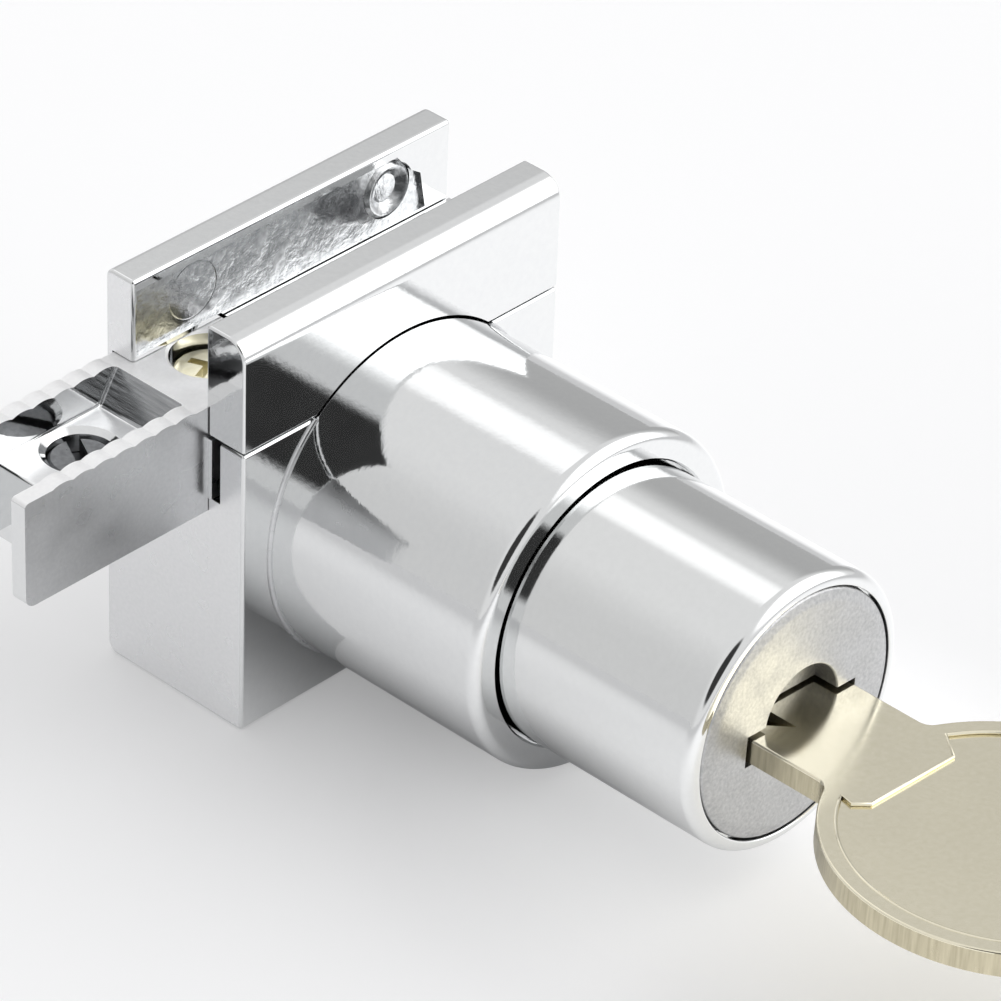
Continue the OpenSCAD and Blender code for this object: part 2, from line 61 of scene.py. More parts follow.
# The collar on the plunger's axis, its root sunk in the block, and the bore in it.
AXIS = -13.3
COLLAR_R, COLLAR_W = 14.0, 21.35
COLLAR_STEPS = 180
SUNK = 2
FILLET = 0.3
MOUTH_R, MOUTH_CHAMFER, MOUTH_DEPTH = 11.72, 0.15, 2.2
BORE_R, BORE_FLOOR_W = 11.53, 1.6
SPRING_BORE_R, SPRING_FLOOR_W = 6.3, -3.9
PIN_HOLE_R = 3.08

# The plunger, the plug in it, and the latch and its pockets.
SLEEVE_R, SLEEVE_W = 11.45, 40.3
LIP_R = 10.3
PLUG_R, PLUG_W = 10.15, 40.45
GUIDE_W = 12.5
LATCH_W, LATCH_T, STROKE = 11.8, 2.8, 8.0

# The arm: its outside, the slit in front of it, and the pocket between its rails.
ARM_END, ARM_IN = -35.2, -7.7
ARM_FRONT, ARM_REAR = -4.175, 6.025
ARM_TOP, ARM_BOTTOM = -0.1, -9.35
ARM_MID = (ARM_FRONT + ARM_REAR) / 2
SLIT_FRONT, SLIT_LOW = -5.425, -8.2
CHANNEL_TOP = ARM_TOP + 0.06
RAIL = 1.45
WEB = -2.9
FORK_X, RAMP_X = -30.3, -18.0
SCALLOPS, SCALLOP_PITCH, SCALLOP_RISE = 7, 2.05, 0.2
JACK_X, JACK_Y, ARM_SCREW_X = -24.6, ARM_MID + 0.3, -11.8

# The key. Its side and drop are how far it lies from the plug's middle.
KEY_TILT = -3.0
KEY_T, KEY_DROP, KEY_SIDE = 2.1, 0.9, 0.45
BLADE, NECK, NECK_W, NECK_FILLET = 5.3, 5.6, 39.45, 1.2
BOW_R, BOW_W = 14.3, 60.85
PANEL_R, PANEL_DEPTH, PANEL_END = 12.9, 0.22, (5.7, 49.5)
BEAD_R, BEAD_SUNK = 0.15, 0.08
RING_HOLE_R, RING_HOLE_W = 2.6, 70.15
FIRST_NOTCH_W, WAFER_PITCH, WAFERS = 23.7, 2.8, 5

# The return spring: the radius to the middle of its wire, its turns and its ends.
COIL_R, WIRE, TURNS, STEPS_A_TURN = 5.4, 0.8, 5, 48
COIL_BACK_W, COIL_FRONT_W = -3.8, 9.9


# ---------------------------------------------------------------- modelling

def take(piece):
    """Makes a piece the active one, and the only one selected."""
    bpy.ops.object.select_all(action="DESELECT")
    piece.select_set(True)
    bpy.context.view_layer.objects.active = piece


def edit(piece):
    """Opens a piece's mesh with all of it selected."""
    take(piece)
    bpy.ops.object.mode_set(mode="EDIT")
    bpy.ops.mesh.select_all(action="SELECT")


def arcs(corners, fine=8):
    """An outline from corners (a, b, radius): each corner is an arc of its radius."""
    out = []
    for i, (a, b, r) in enumerate(corners):
        here = Vector((a, b))
        if r == 0:
            out.append(here)
            continue
        before = (Vector(corners[i - 1][:2]) - here).normalized()
        after = (Vector(corners[(i + 1) % len(corners)][:2]) - here).normalized()
        half = before.angle(after) / 2
        reach = r / math.tan(half)
        middle = here + (before + after).normalized() * (r / math.sin(half))
        start, end = here + before * reach - middle, here + after * reach - middle
        turn = math.atan2(start.x * end.y - start.y * end.x, start.dot(end))
        for k in range(fine + 1):
            t = turn * k / fine
            out.append(middle + Vector((start.x * math.cos(t) - start.y * math.sin(t),
                                        start.x * math.sin(t) + start.y * math.cos(t))))
    return out


def chain(name, points, closed=False):
    """One vertex, extruded from point to point."""
    bpy.ops.object.select_all(action="DESELECT")
    bpy.ops.mesh.primitive_plane_add(size=1)
    piece = bpy.context.object
    piece.name = name
    bpy.ops.object.mode_set(mode="EDIT")
    bpy.ops.mesh.select_all(action="SELECT")
    bpy.ops.mesh.merge(type="CENTER")
    bpy.ops.transform.translate(value=points[0])
    for a, b in zip(points, points[1:] + points[:1] if closed else points[1:]):
        bpy.ops.mesh.extrude_vertices_move(TRANSFORM_OT_translate={"value": b - a})
    bpy.ops.mesh.select_all(action="SELECT")
    bpy.ops.mesh.remove_doubles(threshold=0.0005)
    bpy.ops.object.mode_set(mode="OBJECT")
    return piece


def tidy_mesh(piece):
    """Joins double points and turns the faces outwards."""
    edit(piece)
    bpy.ops.mesh.remove_doubles(threshold=0.0005)
    bpy.ops.mesh.normals_make_consistent(inside=False)
    bpy.ops.object.mode_set(mode="OBJECT")


def slab(name, outline, plane, low, high):
    """An outline drawn in a plane ("xz" or "yz"), filled and pulled into a solid."""
    place = {"xz": lambda a, b: (a, low, b), "yz": lambda a, b: (low, a, b)}[plane]
    pull = {"xz": (0, 1, 0), "yz": (1, 0, 0)}[plane]
    piece = chain(name, [Vector(place(a, b)) for a, b in outline], closed=True)
    bpy.ops.object.mode_set(mode="EDIT")
    bpy.ops.mesh.select_all(action="SELECT")
    bpy.ops.mesh.edge_face_add()
    bpy.ops.mesh.extrude_region_move(
        TRANSFORM_OT_translate={"value": Vector(pull) * (high - low)})
    bpy.ops.object.mode_set(mode="OBJECT")
    tidy_mesh(piece)
    return piece


def turned(name, profile, steps, closed=False):
    """A profile of (radius, height) spun about the local Z axis, as on a lathe."""
    piece = chain(name, [Vector((r, 0, w)) for r, w in profile], closed=closed)
    bpy.ops.object.mode_set(mode="EDIT")
    bpy.ops.mesh.select_all(action="SELECT")
    bpy.ops.mesh.spin(steps=steps, angle=2 * math.pi, center=(0, 0, 0), axis=(0, 0, 1))
    bpy.ops.object.mode_set(mode="OBJECT")
    tidy_mesh(piece)
    return piece


def rod(name, radius, low, high, steps=64):
    """A straight rod on the local Z axis: round, or a prism with few steps."""
    return turned(name, [(0, low), (radius, low), (radius, high), (0, high)], steps)


def wire(name, points, radius, closed=False):
    """A round wire along a line of points, with closed ends."""
    piece = chain(name, points, closed)
    bpy.ops.object.convert(target="CURVE")
    piece.data.bevel_depth, piece.data.bevel_resolution = radius, 2
    piece.data.use_fill_caps = not closed
    bpy.ops.object.convert(target="MESH")
    tidy_mesh(piece)
    return piece


def stand(piece, place=(0, 0, 0), turn=(0, 0, 0)):
    """Puts a piece in its place and writes the place into its mesh."""
    take(piece)
    piece.location = place
    piece.rotation_euler = [math.radians(t) for t in turn]
    bpy.ops.object.transform_apply(location=True, rotation=True, scale=True)
    return piece


def on_axis(piece, tilt=0.0):
    """Local Z goes forwards along the plunger's axis, from the block's front face."""
    stand(piece, turn=(0, 0, tilt))
    return stand(piece, (0, FRONT, AXIS), (90, 0, 0))


def box(name, low, high):
    """A box between two corners."""
    bpy.ops.object.select_all(action="DESELECT")
    size = [h - l for l, h in zip(low, high)]
    middle = [(l + h) / 2 for l, h in zip(low, high)]
    bpy.ops.mesh.primitive_cube_add(size=1, location=middle, scale=size)
    piece = bpy.context.object
    piece.name = name
    bpy.ops.object.transform_apply(location=True, rotation=True, scale=True)
    return piece


def shape(piece, tool, how="DIFFERENCE"):
    """Cuts a tool out of a piece, or welds it on, and throws the tool away."""
    take(piece)
    m = piece.modifiers.new("shape", "BOOLEAN")
    m.object, m.operation, m.solver = tool, how, "EXACT"
    bpy.ops.object.modifier_apply(modifier=m.name)
    bpy.data.objects.remove(tool)


def break_edges(piece, width, segments=3, angle=32, clamp=True):
    """Rounds the sharp edges, as plating and tumbling leave them."""
    edit(piece)
    bpy.ops.mesh.remove_doubles(threshold=0.003)
    bpy.ops.mesh.dissolve_limited(angle_limit=math.radians(0.4))
    bpy.ops.object.mode_set(mode="OBJECT")
    m = piece.modifiers.new("edges", "BEVEL")
    m.width, m.segments, m.limit_method = width, segments, "ANGLE"
    m.angle_limit, m.use_clamp_overlap = math.radians(angle), clamp
    bpy.ops.object.modifier_apply(modifier=m.name)
    edit(piece)
    bpy.ops.mesh.fill_holes(sides=12)
    bpy.ops.mesh.normals_make_consistent(inside=False)
    bpy.ops.object.mode_set(mode="OBJECT")


def shade(piece, angle=32):
    """Smooth shading that leaves the flat faces flat."""
    take(piece)
    bpy.ops.object.shade_smooth_by_angle(angle=math.radians(angle))
    m = piece.modifiers.new("flat", "WEIGHTED_NORMAL")
    m.keep_sharp, m.weight = True, 60
    bpy.ops.object.modifier_apply(modifier=m.name)


def put_on(piece, body, finishes, replaced=()):
    """Brings a finished piece to metres and puts it on its body."""
    take(piece)
    piece.scale = (MM, MM, MM)
    bpy.ops.object.transform_apply(location=True, rotation=True, scale=True)
    for m in finishes:
        piece.data.materials.append(m)
    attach(piece, body)
    if replaced:
        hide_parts(*replaced)


def paint_faces(piece, index, test):
    """Gives the faces that pass a test on centre and normal another finish."""
    for f in piece.data.polygons:
        if test(f.center, f.normal):
            f.material_index = index


# ---------------------------------------------------------------- finishes

def linear(code):
    """An sRGB hex value as a linear colour."""
    parts = [int(code[i:i + 2], 16) / 255 for i in (1, 3, 5)]
    return [c / 12.92 if c <= 0.04045 else ((c + 0.055) / 1.055) ** 2.4
            for c in parts] + [1]


def add(tree, kind, sockets=None, **settings):
    """Adds a node: settings are its properties, sockets its values or links."""
    n = tree.nodes.new(kind)
    for name, value in settings.items():
        setattr(n, name, value)
    for name, value in (sockets or {}).items():
        if isinstance(value, bpy.types.NodeSocket):
            tree.links.new(value, n.inputs[name])
        else:
            n.inputs[name].default_value = value
    return n


def new_finish(name):
    """A material with an empty node tree."""
    m = bpy.data.materials.new(name)
    m.use_nodes = True
    m.node_tree.nodes.clear()
    return m, m.node_tree


def metal_finish(name, light, dark, rough, grain_mm, grain_high, wave_mm=3.0,
                 wave_high=0.0, rough_spread=0.03, stretch=(1, 1, 1)):
    """A metal whose colour, gloss and surface vary with a fine grain and a slow wave."""
    m, t = new_finish(name)
    place = add(t, "ShaderNodeTexCoord").outputs["Object"]
    drawn = add(t, "ShaderNodeMapping", {"Vector": place, "Scale": stretch})
    grain = add(t, "ShaderNodeTexNoise",
                {"Vector": drawn.outputs["Vector"], "Scale": 1 / MM / grain_mm,
                 "Detail": 3.0, "Roughness": 0.6}).outputs["Fac"]
    wave = add(t, "ShaderNodeTexNoise",
               {"Vector": place, "Scale": 1 / MM / wave_mm,
                "Detail": 1.5, "Roughness": 0.4}).outputs["Fac"]
    tone = add(t, "ShaderNodeMix",
               {"Factor": grain, "A": linear(dark), "B": linear(light)}, data_type="RGBA")
    gloss = add(t, "ShaderNodeMapRange",
                {"Value": wave, "From Min": 0.3, "From Max": 0.7,
                 "To Min": rough - rough_spread, "To Max": rough + rough_spread})
    slow = add(t, "ShaderNodeBump",
               {"Height": wave, "Strength": 1.0, "Distance": wave_high * MM})
    fine = add(t, "ShaderNodeBump",
               {"Height": grain, "Strength": 1.0, "Distance": grain_high * MM,
                "Normal": slow.outputs["Normal"]})
    skin = add(t, "ShaderNodeBsdfPrincipled",
               {"Base Color": tone.outputs["Result"], "Metallic": 1.0,
                "Roughness": gloss.outputs["Result"], "Normal": fine.outputs["Normal"]})
    add(t, "ShaderNodeOutputMaterial", {"Surface": skin.outputs["BSDF"]})
    return m


# Bright chrome on a polished zinc casting: a mirror whose reflections swim a
# little, with ragged edges from the polishing grain under the plate.
bright_chrome = metal_finish("bright_chrome", "#E4E5E5", "#DDDEDF", rough=0.07,
                             grain_mm=0.55, grain_high=0.0050,
                             wave_mm=4.0, wave_high=0.008)
# The plunger's chrome, turned before plating: a cleaner mirror, its grain shallower.
turned_chrome = metal_finish("turned_chrome", "#E5E6E6", "#DFE0E0", rough=0.08,
                             grain_mm=0.6, grain_high=0.0018,
                             wave_mm=6.0, wave_high=0.004, rough_spread=0.02)
# Chrome over a blasted face: a soft silvery sheen with a dusty grain.
satin_chrome = metal_finish("satin_chrome", "#F2F2F3", "#E4E5E6", rough=0.30,
                            grain_mm=0.35, grain_high=0.006,
                            wave_high=0.004, rough_spread=0.05)
# The arm's side and the collar's root, plated over brushed metal: greyer.
brushed_chrome = metal_finish("brushed_chrome", "#D8D9DA", "#C2C3C5", rough=0.30,
                              grain_mm=0.35, grain_high=0.006,
                              wave_high=0.004, rough_spread=0.05)
# The arm's top under the glass, blasted coarser: almost white, with no mirror. Its almost
# white colour is partly a painted highlight, for the glint on the arm's top.
blasted_chrome_painted_glint = metal_finish("blasted_chrome_painted_glint", "#FCFCFC", "#F0F0F1", rough=0.60,
                              grain_mm=0.35, grain_high=0.010,
                              wave_mm=2.0, wave_high=0.004, rough_spread=0.04)
# Chrome over the raw casting skin of the jaw's inner side: smeared ripples and
# pits that break the reflections into dark and light patches.
cast_chrome = metal_finish("cast_chrome", "#EDEEEF", "#8E9092", rough=0.24,
                           grain_mm=0.5, grain_high=0.045,
                           wave_mm=2.2, wave_high=0.13, rough_spread=0.08)
# The arm's ramp, left by an end mill: parallel scratches across the slope. Its dark grey is
# partly painted shade on the ramp between the rails.
milled_chrome_painted_shade = metal_finish("milled_chrome_painted_shade", "#C9CACC", "#6B6E70", rough=0.20,
                             grain_mm=0.35, grain_high=0.03,
                             wave_mm=2.0, wave_high=0.01, stretch=(1, 0.08, 1))
# Bare die-cast zinc of the plug: neutral grey, matt and finely pitted.
cast_zinc = metal_finish("cast_zinc", "#D6D6D5", "#96979A", rough=0.42,
                         grain_mm=0.30, grain_high=0.026,
                         wave_mm=2.0, wave_high=0.010, rough_spread=0.06)
# Nickel brass of the key, stamped and tumbled: a pale straw colour, soft gloss.
nickel_brass = metal_finish("nickel_brass", "#F3EDD8", "#E8E1C9", rough=0.14,
                            grain_mm=0.5, grain_high=0.0025,
                            wave_mm=5.0, wave_high=0.006, rough_spread=0.04)
# The key's sheared rim: streaks from the punch, across the thickness.
sheared_brass = metal_finish("sheared_brass", "#DAD2B8", "#978F78", rough=0.30,
                             grain_mm=0.35, grain_high=0.02,
                             wave_mm=2.5, wave_high=0.01, stretch=(1, 1, 0.05))
# Yellow zinc plate on the arm's screw: pale straw gold with a faint bloom.
yellow_zinc = metal_finish("yellow_zinc", "#F6F2DE", "#E0D8B4", rough=0.30,
                           grain_mm=0.6, grain_high=0.008,
                           wave_mm=1.5, wave_high=0.02)
# Plain steel of the small screws, darkened by its oil.
dark_steel = metal_finish("dark_steel", "#8B8C8E", "#5A5B5D", rough=0.30,
                          grain_mm=0.4, grain_high=0.012,
                          wave_mm=1.2, wave_high=0.02)
# Drawn steel of the pin and springs: grey with a clean gloss.
drawn_steel = metal_finish("drawn_steel", "#C3C5C8", "#A5A7AA", rough=0.22,
                           grain_mm=0.4, grain_high=0.004)
# Stamped brass of the wafers: plain yellow with a half gloss.
wafer_brass = metal_finish("wafer_brass", "#D9C07A", "#B79C55", rough=0.28,
                           grain_mm=0.4, grain_high=0.006)


# ---------------------------------------------------------------- housing

# The block and the rear jaw: one drawn section, pulled along the glass edge.
section = arcs([(FRONT, BASE, 0.5), (REAR, BASE, 1.0), (REAR, JAW_TOP, 0.7),
                (SLOT, JAW_TOP, 0.35), (SLOT, PARTING, 0), (FRONT, PARTING, 0)])
casting = slab("lock_casting", section, "yz", -HALF, HALF)
break_edges(casting, width=0.28, clamp=False)

# The collar with its rounded lip, welded on at the block's front.
lip = arcs([(COLLAR_R, 0, 0), (COLLAR_R, COLLAR_W, 1.0), (0, COLLAR_W, 0)])[1:-1]
collar = turned("collar", [(0, -SUNK), (COLLAR_R, -SUNK)] + lip + [(0, COLLAR_W)],
                COLLAR_STEPS)
shape(casting, on_axis(collar), "UNION")

# The fillet at the collar's root stops at the parting plane. It lies on the
# casting as a ring of its own, for a seam here would break the collar's mirror.
hollow = [(COLLAR_R + FILLET - FILLET * math.sin(t * math.pi / 12),
           FILLET - FILLET * math.cos(t * math.pi / 12)) for t in range(7)]
fillet = turned("root_fillet", [(COLLAR_R - 1, -0.6), (COLLAR_R + FILLET, -0.6)]
                + hollow + [(COLLAR_R - 1, FILLET)], COLLAR_STEPS, closed=True)
on_axis(fillet)
shape(fillet, box("above", (-20, -12, PARTING - 0.02), (20, 0, 10)))
shade(fillet)
put_on(fillet, "housing_body", [brushed_chrome])

# The bore: the mouth's open ring, the running bore, the spring's recess and the
# pin's hole through the back.
bore = turned("bore", [(0, COLLAR_W + 1), (MOUTH_R + MOUTH_CHAMFER, COLLAR_W + 1),
                       (MOUTH_R + MOUTH_CHAMFER, COLLAR_W),
                       (MOUTH_R, COLLAR_W - MOUTH_CHAMFER),
                       (MOUTH_R, COLLAR_W - MOUTH_DEPTH),
                       (BORE_R, COLLAR_W - MOUTH_DEPTH), (BORE_R, BORE_FLOOR_W),
                       (SPRING_BORE_R, BORE_FLOOR_W), (SPRING_BORE_R, SPRING_FLOOR_W),
                       (PIN_HOLE_R, SPRING_FLOOR_W), (PIN_HOLE_R, -16), (0, -16)],
              COLLAR_STEPS)
shape(casting, on_axis(bore))

# The arm's channel, open at the left, with a slit in front of the arm, and the
# recess of the jaw's rough side.
channel = [(ARM_FRONT - 0.05, ARM_BOTTOM), (ARM_REAR + 0.15, ARM_BOTTOM),
           (ARM_REAR + 0.15, CHANNEL_TOP), (SLIT_FRONT, CHANNEL_TOP),
           (SLIT_FRONT, SLIT_LOW), (ARM_FRONT - 0.05, SLIT_LOW)]
shape(casting, slab("channel", channel, "yz", -HALF - 1, ARM_IN + 0.3))
recess = [(-HALF + 0.35, 0.3), (-HALF + 0.35, 6.05), (11.0, 6.05), (12.4, 4.4),
          (13.6, 3.6), (14.2, 0.3)]
shape(casting, slab("jaw_recess", recess, "xz", 3.0, RECESS_Y))
for x in (-GRUB_X, GRUB_X):
    hole = rod("hole", 2.48, -2, 5)
    shape(casting, stand(hole, (x, REAR + 1, GRUB_Z), (90, 0, 0)))

# The guide screw's hole, and the latch's pockets for the plunger out and in.
hole = rod("hole", 2.08, 9.45, 15)
shape(casting, stand(hole, (0, FRONT - GUIDE_W, AXIS), (180, 0, 0)))
for w in (LATCH_W, LATCH_W - STROKE):
    shape(casting, box("pocket", (10.0, FRONT - w - LATCH_T, AXIS - 3.9),
                       (12.9, FRONT - w, AXIS + 3.9)))

break_edges(casting, width=0.16)
shade(casting)
ROUGH_SIDE, LEFT_END = 1, 2
paint_faces(casting, ROUGH_SIDE,
            lambda c, n: abs(c.y - RECESS_Y) < 0.1 and n.y < -0.8 and c.z > 0.2)
paint_faces(casting, LEFT_END,
            lambda c, n: n.x < -0.95 and c.x < -HALF + 0.01 and c.z < PARTING)
put_on(casting, "housing_body", [bright_chrome, cast_chrome, satin_chrome],
       ["housing"])

# ---------------------------------------------------------------- front clamp

# The jaw with its rounded front edge, its foot on the block, the arch over the
# collar, room for the arm, and the foot screw's countersunk hole.
section = arcs([(FRONT, PARTING + SEAM, 0), (FRONT, JAW_TOP, 1.8),
                (-SLOT, JAW_TOP, 0.3), (-SLOT, PARTING + SEAM, 0)], fine=12)
clamp = slab("front_jaw", section, "yz", -HALF, HALF)
break_edges(clamp, width=0.2, clamp=False)
foot = box("foot", (FOOT_LEFT, -SLOT - 1, PARTING), (HALF, SLOT - 0.1, 0))
shape(clamp, foot, "UNION")
arch = rod("arch", COLLAR_R + SEAM, -SUNK - SEAM, 9, COLLAR_STEPS)
shape(clamp, on_axis(arch))
shape(clamp, box("channel", (-HALF - 1, ARM_FRONT - 0.1, PARTING - 1),
                 (FOOT_LEFT, 5, CHANNEL_TOP)))
hole = turned("hole", [(0, -4), (1.9, -4), (1.9, -1.9), (3.2, -0.2), (3.2, 1), (0, 1)], 64)
shape(clamp, stand(hole, (10.2, 0, 0)))
break_edges(clamp, width=0.16)
shade(clamp)
put_on(clamp, "housing_body", [bright_chrome], ["front_clamp"])

# ---------------------------------------------------------------- fork arm

def arm_outline():
    """The arm from the side, with low arcs on its top."""
    top = [(ARM_IN, ARM_TOP)]
    for i in range(SCALLOPS):
        middle = RAMP_X - SCALLOP_PITCH * (i + 0.55)
        for k in range(9):
            a = 1 - k / 4
            top.append((middle + SCALLOP_PITCH / 2 * a,
                        ARM_TOP + SCALLOP_RISE * (1 - a * a)))
    return top + arcs([(ARM_END, ARM_TOP, 0.4), (ARM_END, ARM_BOTTOM, 0.9),
                       (ARM_IN, ARM_BOTTOM, 0.3), (ARM_IN, ARM_TOP, 0)])[:-1]


def between_rails(c):
    """Whether a face's centre lies in the arm's pocket, seen from above."""
    return ARM_FRONT + RAIL < c.y < ARM_REAR - RAIL


arm = slab("fork_arm", arm_outline(), "xz", ARM_FRONT, ARM_REAR)
hole = turned("hole", [(0, -12), (1.75, -12), (1.75, -2.7), (3.1, -2.7),
                       (3.1, ARM_TOP - 0.2), (3.35, ARM_TOP + 0.01), (3.35, 1), (0, 1)],
              96)
shape(arm, stand(hole, (ARM_SCREW_X, ARM_MID, 0)))
# The pocket, its ramp and the open fork are one cutter with soft edges, which
# leave small fillets along the rails' feet and in the corners of the ramp.
pocket = slab("pocket", [(ARM_END - 2, ARM_BOTTOM - 2), (FORK_X, ARM_BOTTOM - 2),
                         (FORK_X, WEB), (RAMP_X - 1.6, WEB),
                         (RAMP_X + 0.07, ARM_TOP + 0.1), (RAMP_X + 0.07, 3),
                         (ARM_END - 2, 3)],
              "xz", ARM_FRONT + RAIL, ARM_REAR - RAIL)
break_edges(pocket, width=0.3, angle=30)
shape(arm, pocket)
shape(arm, box("shoulder", (-HALF - 0.1, ARM_FRONT - 0.45, SLIT_LOW + 0.05),
               (ARM_IN - 0.03, ARM_FRONT + 0.5, PARTING - 0.05)), "UNION")
hole = turned("hole", [(0, -12), (2.68, -12), (2.68, WEB - 0.4), (3.1, WEB - 0.05),
                       (3.2, WEB + 0.02), (3.2, 1), (0, 1)], 96)
shape(arm, stand(hole, (JACK_X, JACK_Y, 0)))
break_edges(arm, width=0.14, angle=30)
shade(arm)
WEB_TOP, RAMP, TOP, FRONT_SIDE = 1, 2, 3, 4
paint_faces(arm, WEB_TOP, lambda c, n: n.z > 0.95 and abs(c.z - WEB) < 0.1)
paint_faces(arm, FRONT_SIDE, lambda c, n: n.y < -0.95 and c.y < ARM_FRONT + 0.01)
# The tops get the blasted finish, whose almost white colour is partly a painted highlight.
paint_faces(arm, TOP, lambda c, n: n.z > 0.3 and c.z > ARM_TOP - 0.3
            and (c.x > RAMP_X - 0.1 or not between_rails(c)))
# The ramp gets the milled finish, whose dark grey is partly painted shade.
paint_faces(arm, RAMP, lambda c, n: n.z > 0.3 and -0.95 < n.x < -0.5
            and RAMP_X - 1.8 < c.x < RAMP_X + 0.1)
put_on(arm, "housing_body",
       [bright_chrome, satin_chrome, milled_chrome_painted_shade, blasted_chrome_painted_glint, brushed_chrome],
       ["strike_arm"])

# ---------------------------------------------------------------- screws

# The arm's screw: a low domed head with a cross recess.
screw = turned("arm_screw_head", [(0, -13.5), (1.6, -13.5), (1.6, -2.7), (2.8, -2.7),
                                  (2.8, -1.75), (2.72, -1.5), (2.4, -1.28),
                                  (1.6, -1.14), (0.8, -1.1), (0, -1.1)], 96)
for turn in (20, 110):
    slot_tool = box("slot", (-1.7, -0.35, -2.0), (1.7, 0.35, 0))
    shape(screw, stand(slot_tool, turn=(0, 0, turn)))
stand(screw, (ARM_SCREW_X, ARM_MID, 0))
break_edges(screw, width=0.07, segments=2)
shade(screw)
put_on(screw, "housing_body", [yellow_zinc], ["arm_screw"])

# The jack screw, just below the web's surface, with a deep straight slot.
screw = turned("jack_screw", [(0, -9.25), (2.3, -9.25), (2.6, -8.9), (2.6, -3.85),
                              (2.3, -3.5), (0, -3.5)], 96)
slot_tool = box("slot", (-4, -0.56, -4.9), (4, 0.56, 0))
shape(screw, stand(slot_tool, turn=(0, 0, 63)))
stand(screw, (JACK_X, JACK_Y, 0))
break_edges(screw, width=0.1, segments=2)
shade(screw)
put_on(screw, "jack_screw_body", [dark_steel], ["arm_jack_screw"])

# The screws that press on the glass, with hexagon holes behind: one is worn
# flush with the jaw's rough face, the other still shows its cup point.
worn = [(0, -4.3), (2.3, -4.3), (2.46, -4.36), (2.46, -6.5)]
cup = [(0, -4.6), (1.2, -4.6), (1.7, -4.15), (2.1, -4.05), (2.4, -4.35), (2.4, -6.5)]
for side, x, point in (("left", -GRUB_X, worn), ("right", GRUB_X, cup)):
    screw = turned(f"glass_screw_{side}_point", point + [(2.15, -6.775), (0, -6.775)], 72)
    stand(screw, turn=(90, 0, 0))
    hexagon = rod("hexagon", 1.44, -8, -5.2, steps=6)
    shape(screw, stand(hexagon, turn=(90, 0, 0)))
    stand(screw, (x, 0, GRUB_Z))
    shade(screw)
    put_on(screw, f"glass_screw_{side}_body", [cast_chrome],
           [f"glass_screw_{side}"])

# ---------------------------------------------------------------- plunger

# The sleeve with its rounded lip and the plug's stepped bore, the groove for the
# guide screw below, and the latch's window at the right.
profile = arcs([(SLEEVE_R, 10, 0.3), (SLEEVE_R, SLEEVE_W, 1.0),
                (LIP_R, SLEEVE_W, 0.12), (LIP_R, SLEEVE_W - 0.9, 0),
                (10.23, SLEEVE_W - 0.9, 0), (10.23, 36.9, 0), (7.68, 36.9, 0),
                (7.68, 19.0, 0), (3.6, 19.0, 0), (3.6, 17.2, 0),
                (9.8, 17.2, 0), (9.8, 10, 0.3)], fine=10)
sleeve = on_axis(turned("plunger_tube", profile, 192, closed=True))
shape(sleeve, box("groove", (-1.1, FRONT - 11.4 - 10.2, AXIS - 12.4),
                  (1.1, FRONT - 11.4, AXIS - 10.45)))
shape(sleeve, box("latch_window", (8.8, FRONT - 14.45, AXIS - 3.75),
                  (12, FRONT - 11.95, AXIS + 3.75)))
shade(sleeve)
put_on(sleeve, "plunger_body", [turned_chrome], ["plunger_sleeve"])

# ---------------------------------------------------------------- plug

# The plug's steps and softened rim, the round recess in its face and the keyway.
rim = arcs([(PLUG_R, 37.2, 0), (PLUG_R, PLUG_W - 0.26, 0.3),
            (PLUG_R - 0.9, PLUG_W, 1.6), (0, PLUG_W, 0)])
plug = turned("plug_face", [(0, 14.9), (3.5, 14.9), (3.5, 19.2), (7.6, 19.2), (7.6, 37.2)]
              + [tuple(p) for p in rim], 160)
recess = turned("recess", [(0, PLUG_W - 2.2), (3.9, PLUG_W - 2.2), (3.9, PLUG_W - 0.12),
                           (4.05, PLUG_W + 0.05), (4.05, PLUG_W + 2), (0, PLUG_W + 2)], 96)
shape(plug, stand(recess, (KEY_SIDE, 0, 0)))
shape(plug, box("keyway", (KEY_SIDE - NECK - 0.3, -KEY_DROP - 1.35, 20.5),
                (KEY_SIDE + NECK + 0.3, -KEY_DROP + 1.35, 45)))
on_axis(plug, KEY_TILT)
break_edges(plug, width=0.08, segments=2)
shade(plug)
put_on(plug, "plug_body", [cast_zinc], ["plug"])

# ---------------------------------------------------------------- key

def neck_side(side):
    """One side of the blade and neck, with the fillet that runs into the bow."""
    r, x = NECK_FILLET, NECK + NECK_FILLET
    w = BOW_W - math.sqrt((BOW_R + r) ** 2 - x * x)
    sweep = math.atan2(BOW_W - w, x)
    fillet = [(side * (x - r * math.cos(sweep * i / 8)), w + r * math.sin(sweep * i / 8))
              for i in range(9)]
    return [(side * 1.8, 21.0), (side * BLADE, 23.0), (side * BLADE, NECK_W),
            (side * NECK, NECK_W)] + fillet


def bow_arc(radius, end, steps):
    """A circle about the bow's middle, from a point on its right to the mirrored one."""
    start = math.atan2(end[1] - BOW_W, end[0])
    turn = 2 * (math.pi / 2 - start)
    return [(radius * math.cos(start + turn * i / steps),
             BOW_W + radius * math.sin(start + turn * i / steps))
            for i in range(steps + 1)]


# Drawn with outline x, thickness y and length z, and tipped onto the axis below.
right, left = neck_side(1), neck_side(-1)
bow = bow_arc(BOW_R, right[-1], 120)[1:-1]
key = slab("flat_key", right + bow + left[::-1], "xz", -KEY_T / 2, KEY_T / 2)
break_edges(key, width=0.17, angle=60, clamp=False)
